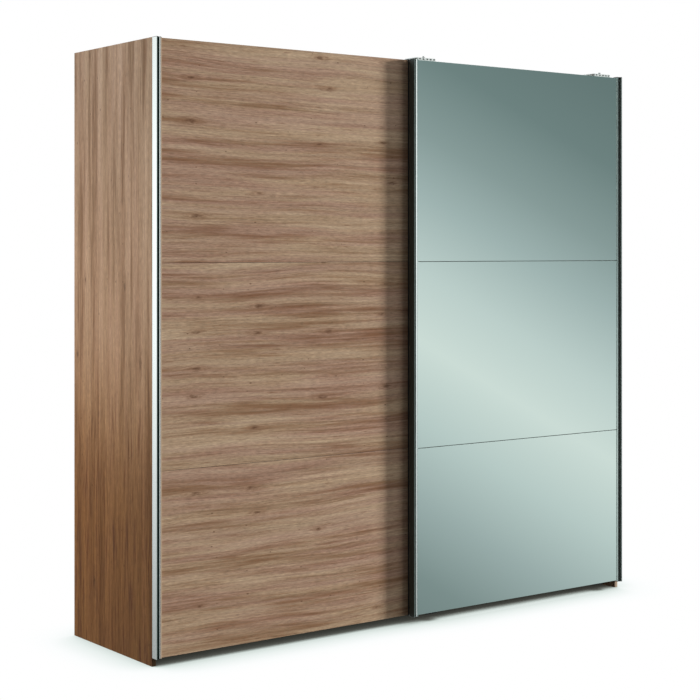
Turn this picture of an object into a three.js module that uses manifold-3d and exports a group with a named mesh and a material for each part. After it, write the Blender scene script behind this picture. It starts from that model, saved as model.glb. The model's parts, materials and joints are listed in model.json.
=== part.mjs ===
// Sliding door wardrobe: a board carcass with two compartments, closed by two overlapping doors
// that hang from rollers on a double track and are steered by a double guide rail near the floor.
// Millimetres. Origin on the floor under the middle of the overall box, +X to the right when
// facing the doors, +Y towards the wall behind, +Z up.
import * as THREE from "three";
import { ConvexGeometry } from "three/addons/geometries/ConvexGeometry.js";
import { mergeVertices } from "three/addons/utils/BufferGeometryUtils.js";
import Module from "manifold-3d";

// Carcass
const WIDTH = 2245;
const HEIGHT = 2160;
const CARCASS_DEPTH = 572;
const BOARD = 16;
const EDGE_CHAMFER = 0.6;
const GAP = 0.3; // between pieces that touch
const TOP_PANEL_TOP = 2110;
const BOTTOM_PANEL_TOP = 80;
const PLINTH_SETBACK = 100;
const SHELF_TOP = 1806;
const SHELF_FRONT_SETBACK = 30;
const SHELF_REAR_SETBACK = 28;
const SPACER_DEPTH = 32.5; // strip that closes the right-hand side up to the front door

// Back panels and the grooves that hold them
const BACK_PANEL = 3;
const GROOVE_WIDTH = 4;
const GROOVE_DEPTH = 6;
const GROOVE_FROM_REAR = 8;
const JOINER_WIDTH = 16;
const JOINER_WALL = 1.2;

// Clothes rails, a flattened tube
const RAIL_HEIGHT = 30;
const RAIL_WIDTH = 15;
const RAIL_WALL = 1.5;
const RAIL_CENTRE_Z = 1720;
const BRACKET_PLATE = 2.5;
const BRACKET_COLLAR = 12;
const BRACKET_WALL = 2.4;

// Doors
const DOOR_WIDTH = 1132;
const DOOR_DEPTH = 30.5;
const DOOR_BOTTOM = 30;
const DOOR_TOP = 2159;
const PANEL_FRONT = 22; // from the rear of the door to the front of its panels
const PANEL_REAR = 4;
const MIRROR_GLASS = 4;
const LOWER_JOINT_Z = 671;
const UPPER_JOINT_Z = 1385;

// Each door: where its left edge and rear face are, how its panels lie, how far it slides
const INNER_DOOR = {
  name: "left_door",
  left: 0.5,
  standOff: 1,
  panelBottom: 32,
  panelTop: 2157,
  jointGap: 1.2,
  trackLane: 22,
  guideLane: 16,
  armZ: 2154.5,
  hangerBottom: 2114,
  guideArmZ: 34.25,
};
const OUTER_DOOR = {
  name: "right_door",
  left: WIDTH - 4.5 - DOOR_WIDTH,
  standOff: 34,
  panelBottom: 35,
  panelTop: 2156,
  jointGap: 2.6,
  trackLane: 52,
  guideLane: 44,
  armZ: 2168.75,
  hangerBottom: 2104,
  guideArmZ: 25.25,
};
const NEAR_HANGER = 82; // hanger centre from the edge that overlaps the other door
const FAR_HANGER = 90; // hanger centre from the edge beside the side panel
const INNER_TRAVEL = 1092;
const OUTER_TRAVEL = 1104;

// Handle profile section, measured from the door's outer edge and its rear face
const PROFILE = { wall: 2, wallRadius: 0.9, floor: 1.5, webNear: 14.5, webFar: 17.8, tip: 21.5 };
const REAR_FLANGE = { reach: 23, rear: 2, front: 3.7 };
const LIP = { thickness: 2.3, flat: 1, slope: 3 };
const JOINT_STRIP = { flangeHalf: 12, thickness: 1.5, recess: 1 };

// Running gear
const STEEL = 2.5;
const BEND_RADIUS = 2;
const HANGER_WIDTH = 88;
const PLATE_TO_LANE = 10;
const HANGER_PLATE_BOTTOM = 2120;
const ROLLER = { flange: 15, tread: 12, width: 10, bore: 3.9, groove: 3.1, chamfer: 0.8, sides: 28 };
const BEAD_RADIUS = 2.8;
const BEAD_CENTRE_Z = 2121.2;
const ROLLER_Z = BEAD_CENTRE_Z + ROLLER.tread + ROLLER.groove;
const AXLE = { radius: 3.5, collar: 5.5, head: 6, headLength: 2, sides: 20 };
const SCREW = { radius: 3.2, sides: 6, top: 2177, offsetX: -7, behindRear: 8 };
const TRACK = { front: 6, rear: 72, plate: 2.5, rib: 2, lip: 4 };
const STOP = { length: 24, width: 16, height: 22, clearance: 1.5 };
const GUIDE_RAIL = { top: 2.5, wall: 2, slot: 8, bottom: 46 };
const GUIDE = { width: 50, fromEdge: 110, fin: 5.2, finLength: 40, finTop: 58, overhang: 6 };

// Derived places
const OVERALL_DEPTH = CARCASS_DEPTH + OUTER_DOOR.standOff + DOOR_DEPTH;
const BACK_Y = OVERALL_DEPTH / 2;
const FRONT_Y = BACK_Y - CARCASS_DEPTH;
const LEFT_X = -WIDTH / 2;
const INNER_LEFT_X = LEFT_X + BOARD;
const INNER_RIGHT_X = -INNER_LEFT_X;
const PARTITION_X = BOARD / 2; // half of the board each side of the middle
const BACK_PANEL_Y = BACK_Y - GROOVE_FROM_REAR - GROOVE_WIDTH / 2;
const PANEL_REAR_Y = BACK_PANEL_Y - BACK_PANEL / 2 - JOINER_WALL - GAP * 2;
const BOTTOM_PANEL_UNDER = BOTTOM_PANEL_TOP - BOARD;

const wasm = await Module();
wasm.setup();

const paint = (color, roughness, metalness = 0) =>
  new THREE.MeshStandardMaterial({ color, roughness, metalness });
const materials = {
  wood: () => paint(0x96795f, 0.55),
  sideWood: () => paint(0x7d5f45, 0.6),
  interior: () => paint(0xd9d3c8, 0.6),
  backboard: () => paint(0xcfc9bd, 0.8),
  mirror: () => paint(0xb9cbc6, 0.05, 1),
  aluminium: () => paint(0xc3c9c8, 0.35, 1),
  darkJoint: () => paint(0x3a3f3e, 0.5, 0.4),
  steel: () => paint(0xb8bcbd, 0.35, 1),
  chrome: () => paint(0xd0d3d5, 0.15, 1),
  nylon: () => paint(0x2a2c2d, 0.5),
  plastic: () => paint(0xe4e2dc, 0.5),
};

const wardrobe = new THREE.Group();

function addMesh(parent, name, geometry, material) {
  const mesh = new THREE.Mesh(geometry, material());
  mesh.name = name;
  parent.add(mesh);
  return mesh;
}

// A closed geometry as a solid, for joining and cutting
function toSolid(geometry) {
  const bare = geometry.clone();
  bare.deleteAttribute("normal");
  bare.deleteAttribute("uv");
  const merged = mergeVertices(bare, 1e-4);
  return new wasm.Manifold(
    new wasm.Mesh({
      numProp: 3,
      vertProperties: merged.attributes.position.array,
      triVerts: new Uint32Array(merged.index.array),
    }),
  );
}

function toGeometry(solid) {
  const mesh = solid.getMesh();
  const geometry = new THREE.BufferGeometry();
  geometry.setAttribute("position", new THREE.BufferAttribute(mesh.vertProperties, 3));
  geometry.setIndex(new THREE.BufferAttribute(mesh.triVerts, 1));
  geometry.computeVertexNormals();
  return geometry;
}

function join(...geometries) {
  return toGeometry(geometries.map(toSolid).reduce((whole, piece) => whole.add(piece)));
}

function cut(geometry, tool) {
  return toGeometry(toSolid(geometry).subtract(toSolid(tool)));
}

// Box between two corners, with every edge chamfered
function chamferedBox(low, high, chamfer = EDGE_CHAMFER) {
  const points = [];
  for (const x of [low[0], high[0]])
    for (const y of [low[1], high[1]])
      for (const z of [low[2], high[2]])
        for (const kept of [0, 1, 2]) {
          const corner = [x, y, z].map((value, axis) => {
            const inward = value === low[axis] ? chamfer : -chamfer;
            return axis === kept ? value : value + inward;
          });
          points.push(new THREE.Vector3(...corner));
        }
  return new ConvexGeometry(points);
}

function plainBox(low, high) {
  const size = high.map((value, axis) => value - low[axis]);
  const box = new THREE.BoxGeometry(...size);
  return box.translate(...low.map((value, axis) => value + size[axis] / 2));
}

// Closed outline through corners [u, v, radius]; a corner with a radius is rounded
function outline(corners) {
  const shape = new THREE.Shape();
  const toward = (from, to, distance) => {
    const length = Math.hypot(to[0] - from[0], to[1] - from[1]);
    return [0, 1].map((i) => from[i] + ((to[i] - from[i]) * distance) / length);
  };
  corners.forEach((corner, i) => {
    const before = corners[(i + corners.length - 1) % corners.length];
    const after = corners[(i + 1) % corners.length];
    const radius = corner[2] ?? 0;
    const start = toward(corner, before, radius);
    if (i === 0) shape.moveTo(...start);
    else shape.lineTo(...start);
    if (radius > 0) shape.quadraticCurveTo(corner[0], corner[1], ...toward(corner, after, radius));
  });
  return shape;
}

// Outline of a strip of constant thickness along a path of right-angle bends in the plane
function bentStrip(path, thickness, bendRadius) {
  const half = thickness / 2;
  const sides = { left: [], right: [] };
  path.forEach((point, i) => {
    const before = path[i - 1] ?? point;
    const after = path[i + 1] ?? point;
    const incoming = [Math.sign(point[0] - before[0]), Math.sign(point[1] - before[1])];
    const outgoing = [Math.sign(after[0] - point[0]), Math.sign(after[1] - point[1])];
    const turn = incoming[0] * outgoing[1] - incoming[1] * outgoing[0];
    const isBend = turn !== 0;
    const first = i === 0 ? outgoing : incoming;
    const normal = isBend
      ? [-incoming[1] - outgoing[1], incoming[0] + outgoing[0]]
      : [-first[1], first[0]];
    const radius = (side) => (isBend ? bendRadius + (turn * side > 0 ? 0 : thickness) : 0);
    sides.left.push([point[0] + normal[0] * half, point[1] + normal[1] * half, radius(1)]);
    sides.right.push([point[0] - normal[0] * half, point[1] - normal[1] * half, radius(-1)]);
  });
  return outline([...sides.right, ...sides.left.reverse()]);
}

// Shape in (x, y) raised from z0 to z1
function alongZ(shape, z0, z1) {
  const geometry = new THREE.ExtrudeGeometry(shape, {
    depth: z1 - z0,
    bevelEnabled: false,
    curveSegments: 4,
  });
  return geometry.translate(0, 0, z0);
}

// Shape in (y, z) drawn out from x0 to x1
const TO_X = new THREE.Matrix4().set(0, 0, 1, 0, 1, 0, 0, 0, 0, 1, 0, 0, 0, 0, 0, 1);
function alongX(shape, x0, x1, curveSegments = 4) {
  const geometry = new THREE.ExtrudeGeometry(shape, {
    depth: x1 - x0,
    bevelEnabled: false,
    curveSegments,
  });
  return geometry.applyMatrix4(TO_X).translate(x0, 0, 0);
}

// Turned piece round the Y axis from its profile of [radius, y] points
function turnedAlongY(profile, sides) {
  return new THREE.LatheGeometry(
    profile.map(([radius, y]) => new THREE.Vector2(radius, y)),
    sides,
  );
}

function board(name, low, high, material) {
  return addMesh(wardrobe, name, chamferedBox(low, high), material);
}

// Upright board whose faces carry a groove for the back panels: grooves lists the grooved sides
function groovedUpright(x0, grooves, height) {
  const x1 = x0 + BOARD;
  const grooveBack = BACK_Y - GROOVE_FROM_REAR;
  const grooveFront = grooveBack - GROOVE_WIDTH;
  const corners = [
    [x0, FRONT_Y, EDGE_CHAMFER],
    [x1, FRONT_Y, EDGE_CHAMFER],
  ];
  if (grooves.includes("right"))
    corners.push(
      [x1, grooveFront],
      [x1 - GROOVE_DEPTH, grooveFront],
      [x1 - GROOVE_DEPTH, grooveBack],
      [x1, grooveBack],
    );
  corners.push([x1, BACK_Y, EDGE_CHAMFER], [x0, BACK_Y, EDGE_CHAMFER]);
  if (grooves.includes("left"))
    corners.push(
      [x0, grooveBack],
      [x0 + GROOVE_DEPTH, grooveBack],
      [x0 + GROOVE_DEPTH, grooveFront],
      [x0, grooveFront],
    );
  return alongZ(outline(corners), 0, height);
}

// The two compartments, each between the inner faces of its uprights
const COMPARTMENTS = [
  { side: "left", x0: INNER_LEFT_X, x1: -PARTITION_X },
  { side: "right", x0: PARTITION_X, x1: INNER_RIGHT_X },
];

function addUprights() {
  addMesh(
    wardrobe,
    "side_panel_left",
    groovedUpright(LEFT_X, ["right"], HEIGHT),
    materials.sideWood,
  );
  addMesh(
    wardrobe,
    "side_panel_right",
    groovedUpright(INNER_RIGHT_X, ["left"], HEIGHT),
    materials.sideWood,
  );
  board(
    "spacer_strip_right",
    [INNER_RIGHT_X, FRONT_Y - SPACER_DEPTH, 0],
    [-LEFT_X, FRONT_Y - GAP, HEIGHT],
    materials.sideWood,
  );
  // The partition is notched at its foot, where the guides of both doors pass
  const partition = groovedUpright(-PARTITION_X, ["left", "right"], TOP_PANEL_TOP);
  const notchMargin = 10;
  const notch = plainBox(
    [-BOARD, FRONT_Y - notchMargin, -notchMargin],
    [BOARD, FRONT_Y + PLINTH_SETBACK, BOTTOM_PANEL_UNDER],
  );
  addMesh(wardrobe, "centre_partition", cut(partition, notch), materials.interior);
}

function addLevels({ side, x0, x1 }) {
  const low = x0 + GAP;
  const high = x1 - GAP;
  board(
    `top_panel_${side}`,
    [low, FRONT_Y, TOP_PANEL_TOP - BOARD],
    [high, PANEL_REAR_Y, TOP_PANEL_TOP],
    materials.interior,
  );
  board(
    `bottom_panel_${side}`,
    [low, FRONT_Y, BOTTOM_PANEL_UNDER],
    [high, PANEL_REAR_Y, BOTTOM_PANEL_TOP],
    materials.interior,
  );
  board(
    `plinth_${side}`,
    [low, FRONT_Y + PLINTH_SETBACK + GAP, 0],
    [high, FRONT_Y + PLINTH_SETBACK + BOARD, BOTTOM_PANEL_UNDER - GAP],
    materials.sideWood,
  );
  board(
    `shelf_${side}`,
    [low, FRONT_Y + SHELF_FRONT_SETBACK, SHELF_TOP - BOARD],
    [high, BACK_Y - SHELF_REAR_SETBACK, SHELF_TOP],
    materials.interior,
  );
}

// Two thin back panels in each compartment, held together by an H-shaped strip
function addBack({ side, x0, x1 }) {
  const middle = (x0 + x1) / 2;
  const front = BACK_PANEL_Y - BACK_PANEL / 2;
  const rear = BACK_PANEL_Y + BACK_PANEL / 2;
  const webHalf = JOINER_WALL / 2;
  const reach = GROOVE_DEPTH - GAP;
  const halves = [
    ["outer", x0 - reach, middle - webHalf - GAP],
    ["inner", middle + webHalf + GAP, x1 + reach],
  ];
  for (const [half, low, high] of halves)
    addMesh(
      wardrobe,
      `back_panel_${side}_${half}`,
      plainBox([low, front, BOTTOM_PANEL_UNDER], [high, rear, TOP_PANEL_TOP]),
      materials.backboard,
    );
  const flangeHalf = JOINER_WIDTH / 2;
  const inner = BACK_PANEL / 2 + GAP;
  const outer = inner + JOINER_WALL;
  const section = outline(
    [
      [-flangeHalf, -outer],
      [flangeHalf, -outer],
      [flangeHalf, -inner],
      [webHalf, -inner],
      [webHalf, inner],
      [flangeHalf, inner],
      [flangeHalf, outer],
      [-flangeHalf, outer],
      [-flangeHalf, inner],
      [-webHalf, inner],
      [-webHalf, -inner],
      [-flangeHalf, -inner],
    ].map(([x, y]) => [middle + x, BACK_PANEL_Y + y]),
  );
  addMesh(
    wardrobe,
    `back_joiner_${side}`,
    alongZ(section, BOTTOM_PANEL_UNDER, TOP_PANEL_TOP),
    materials.plastic,
  );
}

// Upright stadium outline round (y, z); its ends are half circles
function stadium(y, z, width, height, ShapeClass = THREE.Shape) {
  const radius = width / 2;
  const straight = height / 2 - radius;
  const shape = new ShapeClass();
  shape.moveTo(y + radius, z - straight);
  shape.absarc(y, z + straight, radius, 0, Math.PI, false);
  shape.absarc(y, z - straight, radius, Math.PI, 2 * Math.PI, false);
  return shape;
}

// U-shaped collar that the end of the clothes rail drops into from above
function collarShape(y, z) {
  const inner = RAIL_WIDTH / 2 + GAP;
  const outer = inner + BRACKET_WALL;
  const arcZ = z - RAIL_HEIGHT / 2 + RAIL_WIDTH / 2;
  const top = z + RAIL_HEIGHT / 2;
  const shape = new THREE.Shape();
  shape.moveTo(y + outer, top);
  shape.lineTo(y + inner, top);
  shape.absarc(y, arcZ, inner, 0, -Math.PI, true);
  shape.lineTo(y - inner, top);
  shape.lineTo(y - outer, top);
  shape.absarc(y, arcZ, outer, Math.PI, 2 * Math.PI, false);
  return shape;
}

function addClothesRail({ side, x0, x1 }) {
  const arcSegments = 10;
  const railY = (FRONT_Y + BACK_Y) / 2;
  const tube = stadium(railY, RAIL_CENTRE_Z, RAIL_WIDTH, RAIL_HEIGHT);
  tube.holes.push(
    stadium(
      railY,
      RAIL_CENTRE_Z,
      RAIL_WIDTH - 2 * RAIL_WALL,
      RAIL_HEIGHT - 2 * RAIL_WALL,
      THREE.Path,
    ),
  );
  const endGap = BRACKET_PLATE + 2 * GAP;
  addMesh(
    wardrobe,
    `clothes_rail_${side}`,
    alongX(tube, x0 + endGap, x1 - endGap, arcSegments),
    materials.chrome,
  );
  const plateWidth = RAIL_WIDTH + 4 * BRACKET_WALL;
  const plateHeight = RAIL_HEIGHT + 8 * BRACKET_WALL;
  const plate = stadium(railY, RAIL_CENTRE_Z, plateWidth, plateHeight);
  const collar = collarShape(railY, RAIL_CENTRE_Z);
  const bite = 0.5; // the collar runs this far into its plate
  const bracket = (name, plateX0, collarX0) =>
    addMesh(
      wardrobe,
      name,
      join(
        alongX(plate, plateX0, plateX0 + BRACKET_PLATE, arcSegments),
        alongX(collar, collarX0, collarX0 + BRACKET_COLLAR + bite, arcSegments),
      ),
      materials.steel,
    );
  const left = x0 + GAP;
  const right = x1 - GAP;
  const names = side === "left" ? ["outer", "inner"] : ["inner", "outer"];
  bracket(`rail_bracket_${side}_${names[0]}`, left, left + BRACKET_PLATE - bite);
  bracket(
    `rail_bracket_${side}_${names[1]}`,
    right - BRACKET_PLATE,
    right - BRACKET_PLATE - BRACKET_COLLAR,
  );
}

// Double track: a plate with an edge lip front and rear, and a round-topped rib for each door
function addRunningTrack() {
  const base = TOP_PANEL_TOP + GAP;
  const plateTop = base + TRACK.plate;
  const front = FRONT_Y + TRACK.front;
  const rear = FRONT_Y + TRACK.rear;
  const ribHalf = TRACK.rib / 2;
  const neck = Math.asin(ribHalf / BEAD_RADIUS);
  const shape = new THREE.Shape();
  shape.moveTo(rear, base);
  shape.lineTo(rear, plateTop + TRACK.lip);
  shape.lineTo(rear - TRACK.rib, plateTop + TRACK.lip);
  shape.lineTo(rear - TRACK.rib, plateTop);
  for (const door of [OUTER_DOOR, INNER_DOOR]) {
    const lane = FRONT_Y + door.trackLane;
    shape.lineTo(lane + ribHalf, plateTop);
    shape.absarc(
      lane,
      BEAD_CENTRE_Z,
      BEAD_RADIUS,
      neck - Math.PI / 2,
      1.5 * Math.PI - neck,
      false,
    );
    shape.lineTo(lane - ribHalf, plateTop);
  }
  shape.lineTo(front + TRACK.rib, plateTop);
  shape.lineTo(front + TRACK.rib, plateTop + TRACK.lip);
  shape.lineTo(front, plateTop + TRACK.lip);
  shape.lineTo(front, base);
  const beadSegments = 12;
  const track = alongX(shape, INNER_LEFT_X + GAP, INNER_RIGHT_X - GAP, beadSegments);
  addMesh(wardrobe, "running_track", track, materials.aluminium);
}

// Double guide rail under the front of the bottom panels, its two slots open downwards
function addGuideRail() {
  const top = BOTTOM_PANEL_UNDER - GAP;
  const web = top - GUIDE_RAIL.top;
  const slotHalf = GUIDE_RAIL.slot / 2;
  const slotWalls = (lane) => [
    [lane - slotHalf - GUIDE_RAIL.wall, GUIDE_RAIL.bottom],
    [lane - slotHalf, GUIDE_RAIL.bottom],
    [lane - slotHalf, web],
    [lane + slotHalf, web],
    [lane + slotHalf, GUIDE_RAIL.bottom],
    [lane + slotHalf + GUIDE_RAIL.wall, GUIDE_RAIL.bottom],
  ];
  const [front, rear] = [INNER_DOOR, OUTER_DOOR].map((door) => FRONT_Y + door.guideLane);
  const sideHalf = slotHalf + GUIDE_RAIL.wall;
  const section = outline([
    ...slotWalls(front),
    [front + sideHalf, web],
    [rear - sideHalf, web],
    ...slotWalls(rear),
    [rear + sideHalf, top],
    [front - sideHalf, top],
  ]);
  const rail = alongX(section, INNER_LEFT_X + GAP, INNER_RIGHT_X - GAP);
  addMesh(wardrobe, "guide_rail", rail, materials.aluminium);
}

// Blocks clipped over a rib, which catch the rollers at the end of their travel
function addTrackStops() {
  const rollerX = (door, fromLeft) => LEFT_X + door.left + fromLeft;
  const reach = ROLLER.flange + STOP.clearance;
  const innerFirst = rollerX(INNER_DOOR, FAR_HANGER) - reach - STOP.length;
  const innerLast = rollerX(INNER_DOOR, DOOR_WIDTH - NEAR_HANGER) + INNER_TRAVEL + reach;
  const outerFirst = rollerX(OUTER_DOOR, NEAR_HANGER) - OUTER_TRAVEL - reach - STOP.length;
  const outerLast = rollerX(OUTER_DOOR, DOOR_WIDTH - FAR_HANGER) + reach;
  const stops = [
    ["track_stop_front_left", INNER_DOOR, innerFirst],
    ["track_stop_front_right", INNER_DOOR, innerLast],
    ["track_stop_rear_left", OUTER_DOOR, outerFirst],
    ["track_stop_rear_right", OUTER_DOOR, outerLast],
  ];
  const bottom = TOP_PANEL_TOP + GAP + TRACK.plate + GAP;
  const slotHalf = BEAD_RADIUS + GAP;
  const slotTop = BEAD_CENTRE_Z + BEAD_RADIUS + GAP;
  const cornerRadius = 2;
  for (const [name, door, x] of stops) {
    const lane = FRONT_Y + door.trackLane;
    const half = STOP.width / 2;
    const section = outline([
      [lane - half, bottom],
      [lane - slotHalf, bottom],
      [lane - slotHalf, slotTop],
      [lane + slotHalf, slotTop],
      [lane + slotHalf, bottom],
      [lane + half, bottom],
      [lane + half, bottom + STOP.height, cornerRadius],
      [lane - half, bottom + STOP.height, cornerRadius],
    ]);
    addMesh(wardrobe, name, alongX(section, x, x + STOP.length), materials.nylon);
  }
}

// Full-height handle profile: a proud outer wall, a finger groove and a channel for the panels.
// side is 1 for the profile on the door's left edge and -1 for the one on its right edge.
function handleProfile(side) {
  const { wall, wallRadius, floor, webNear, webFar, tip } = PROFILE;
  const edge = side > 0 ? 0 : DOOR_WIDTH;
  const channelTop = PANEL_FRONT + GAP;
  const lipFront = channelTop + LIP.thickness;
  const overrun = 1;
  const outerWall = [
    [0, 0],
    [wall, 0],
    [wall, DOOR_DEPTH, wallRadius],
    [0, DOOR_DEPTH, wallRadius],
  ];
  const grooveFloor = [
    [0, 0],
    [webFar, 0],
    [webFar, floor],
    [0, floor],
  ];
  const rearFlange = [
    [webNear, REAR_FLANGE.rear],
    [REAR_FLANGE.reach, REAR_FLANGE.rear],
    [REAR_FLANGE.reach, REAR_FLANGE.front],
    [webNear, REAR_FLANGE.front],
  ];
  const web = [
    [webNear, 0],
    [webFar, 0],
    [tip, REAR_FLANGE.rear],
    [tip, lipFront],
    [tip - LIP.flat, lipFront],
    [webNear, lipFront - LIP.slope],
  ];
  const channel = [
    [webFar, REAR_FLANGE.front],
    [REAR_FLANGE.reach + overrun, REAR_FLANGE.front],
    [REAR_FLANGE.reach + overrun, channelTop],
    [webFar, channelTop],
  ];
  const bar = (corners, z0, z1) =>
    alongZ(outline(corners.map(([x, y, radius]) => [edge + side * x, -y, radius])), z0, z1);
  const walls = [outerWall, grooveFloor, rearFlange, web].map((corners) =>
    bar(corners, DOOR_BOTTOM, DOOR_TOP),
  );
  return cut(join(...walls), bar(channel, DOOR_BOTTOM - overrun, DOOR_TOP + overrun));
}

// T-shaped strip behind the joint between two panels
function jointProfile(z, jointGap) {
  const { flangeHalf, thickness, recess } = JOINT_STRIP;
  const webHalf = jointGap / 2 - GAP;
  const flangeFront = GAP - PANEL_REAR;
  const flangeRear = flangeFront + thickness;
  const webFront = recess - PANEL_FRONT;
  const section = outline([
    [flangeRear, z - flangeHalf],
    [flangeRear, z + flangeHalf],
    [flangeFront, z + flangeHalf],
    [flangeFront, z + webHalf],
    [webFront, z + webHalf],
    [webFront, z - webHalf],
    [flangeFront, z - webHalf],
    [flangeFront, z - flangeHalf],
  ]);
  const end = REAR_FLANGE.reach + GAP;
  return alongX(section, end, DOOR_WIDTH - end);
}

// Bent steel hanger with its axle: the plate on the door, the arm over the top, the roller plate
function hanger(door, x, hasScrew) {
  const lane = door.standOff + door.trackLane;
  const plateY = lane - PLATE_TO_LANE - STEEL / 2;
  const doorPlateY = GAP - PANEL_REAR + STEEL / 2;
  const strip = bentStrip(
    [
      [doorPlateY, door.hangerBottom],
      [doorPlateY, door.armZ],
      [plateY, door.armZ],
      [plateY, HANGER_PLATE_BOTTOM],
    ],
    STEEL,
    BEND_RADIUS,
  );
  const rollerHalf = ROLLER.width / 2;
  const collarEnd = lane - rollerHalf - GAP;
  const headStart = lane + rollerHalf + GAP;
  const headEnd = headStart + AXLE.headLength;
  const axle = turnedAlongY(
    [
      [0, plateY],
      [AXLE.collar, plateY],
      [AXLE.collar, collarEnd],
      [AXLE.radius, collarEnd],
      [AXLE.radius, headStart],
      [AXLE.head, headStart],
      [AXLE.head, headEnd],
      [0, headEnd],
    ],
    AXLE.sides,
  );
  const pieces = [
    alongX(strip, x - HANGER_WIDTH / 2, x + HANGER_WIDTH / 2),
    axle.translate(x, 0, ROLLER_Z),
  ];
  if (hasScrew) {
    const { radius, sides, top } = SCREW;
    const screw = new THREE.CylinderGeometry(radius, radius, top - door.armZ, sides);
    screw.rotateX(Math.PI / 2);
    screw.translate(x + SCREW.offsetX, SCREW.behindRear, (top + door.armZ) / 2);
    pieces.push(screw);
  }
  return join(...pieces);
}

// Grooved roller, turning about Y
function roller() {
  const { flange, tread, width, bore, groove, chamfer, sides } = ROLLER;
  const half = width / 2;
  const profile = [
    [bore, -half],
    [flange - chamfer, -half],
    [flange, chamfer - half],
  ];
  const steps = 6;
  const grooveCentre = tread + groove;
  const arcEnd = Math.acos((grooveCentre - flange) / groove);
  for (let i = 0; i <= steps; i++) {
    const angle = arcEnd * ((2 * i) / steps - 1);
    profile.push([grooveCentre - groove * Math.cos(angle), groove * Math.sin(angle)]);
  }
  profile.push([flange, half - chamfer], [flange - chamfer, half], [bore, half], [bore, -half]);
  return turnedAlongY(profile, sides);
}

// Bracket at the door's foot whose upright fin runs in a slot of the guide rail
function guide(door, x) {
  const lane = door.standOff + door.guideLane;
  const doorPlateY = GAP - PANEL_REAR + STEEL / 2;
  const strip = bentStrip(
    [
      [doorPlateY, GUIDE.finTop],
      [doorPlateY, door.guideArmZ],
      [lane + GUIDE.overhang, door.guideArmZ],
    ],
    STEEL,
    BEND_RADIUS,
  );
  const finHalf = GUIDE.fin / 2;
  const fin = chamferedBox(
    [x - GUIDE.finLength / 2, lane - finHalf, door.guideArmZ],
    [x + GUIDE.finLength / 2, lane + finHalf, GUIDE.finTop],
  );
  return join(alongX(strip, x - GUIDE.width / 2, x + GUIDE.width / 2), fin);
}

// The three panel bays of a door, from the floor up: [name, low z, high z]
function panelBays(door) {
  const half = door.jointGap / 2;
  return [
    ["lower", door.panelBottom, LOWER_JOINT_Z - half],
    ["middle", LOWER_JOINT_Z + half, UPPER_JOINT_Z - half],
    ["upper", UPPER_JOINT_Z + half, door.panelTop],
  ];
}

function addWoodPanels(group, door) {
  const low = PROFILE.webFar + GAP;
  for (const [bay, z0, z1] of panelBays(door))
    addMesh(
      group,
      `${door.name}_panel_${bay}`,
      chamferedBox([low, -PANEL_FRONT, z0], [DOOR_WIDTH - low, -PANEL_REAR, z1], 0.3),
      materials.wood,
    );
}

function addMirrorPanels(group, door) {
  const low = PROFILE.webFar + GAP;
  const high = DOOR_WIDTH - low;
  const glassRear = -PANEL_FRONT + MIRROR_GLASS;
  for (const [bay, z0, z1] of panelBays(door)) {
    addMesh(
      group,
      `${door.name}_mirror_${bay}`,
      chamferedBox([low, -PANEL_FRONT, z0], [high, glassRear, z1], 0.3),
      materials.mirror,
    );
    addMesh(
      group,
      `${door.name}_backing_${bay}`,
      chamferedBox([low, glassRear + GAP, z0], [high, -PANEL_REAR, z1]),
      materials.interior,
    );
  }
}

// One door in a group of its own: x from its left edge, y = 0 at its rear face
function addDoor(door, hangerCentres, addPanels, hasScrew) {
  const group = new THREE.Group();
  group.position.set(LEFT_X + door.left, FRONT_Y - door.standOff, 0);
  addPanels(group, door);
  const sides = [
    ["left", 1],
    ["right", -1],
  ];
  for (const [side, sign] of sides)
    addMesh(group, `${door.name}_handle_${side}`, handleProfile(sign), materials.aluminium);
  const joints = [
    ["lower", LOWER_JOINT_Z],
    ["upper", UPPER_JOINT_Z],
  ];
  for (const [joint, z] of joints)
    addMesh(
      group,
      `${door.name}_joint_${joint}`,
      jointProfile(z, door.jointGap),
      materials.darkJoint,
    );
  const guideCentres = [GUIDE.fromEdge, DOOR_WIDTH - GUIDE.fromEdge];
  sides.forEach(([side], i) => {
    const x = hangerCentres[i];
    addMesh(group, `${door.name}_hanger_${side}`, hanger(door, x, hasScrew), materials.steel);
    const wheel = addMesh(group, `${door.name}_roller_${side}`, roller(), materials.nylon);
    wheel.position.set(x, door.standOff + door.trackLane, ROLLER_Z);
    addMesh(group, `${door.name}_guide_${side}`, guide(door, guideCentres[i]), materials.nylon);
  });
  wardrobe.add(group);
}

addUprights();
for (const compartment of COMPARTMENTS) {
  addLevels(compartment);
  addBack(compartment);
  addClothesRail(compartment);
}
addRunningTrack();
addGuideRail();
addTrackStops();
addDoor(INNER_DOOR, [FAR_HANGER, DOOR_WIDTH - NEAR_HANGER], addWoodPanels, false);
addDoor(OUTER_DOOR, [NEAR_HANGER, DOOR_WIDTH - FAR_HANGER], addMirrorPanels, true);

export default wardrobe;
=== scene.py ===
"""Looks of the sliding door wardrobe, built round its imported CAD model. Metres, in the part's own frame:
+X to the right when facing the doors, +Y towards the wall behind, +Z up, floor at z = 0."""

import json
import math

import bmesh
import bpy
from mathutils import Matrix, Vector


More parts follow.
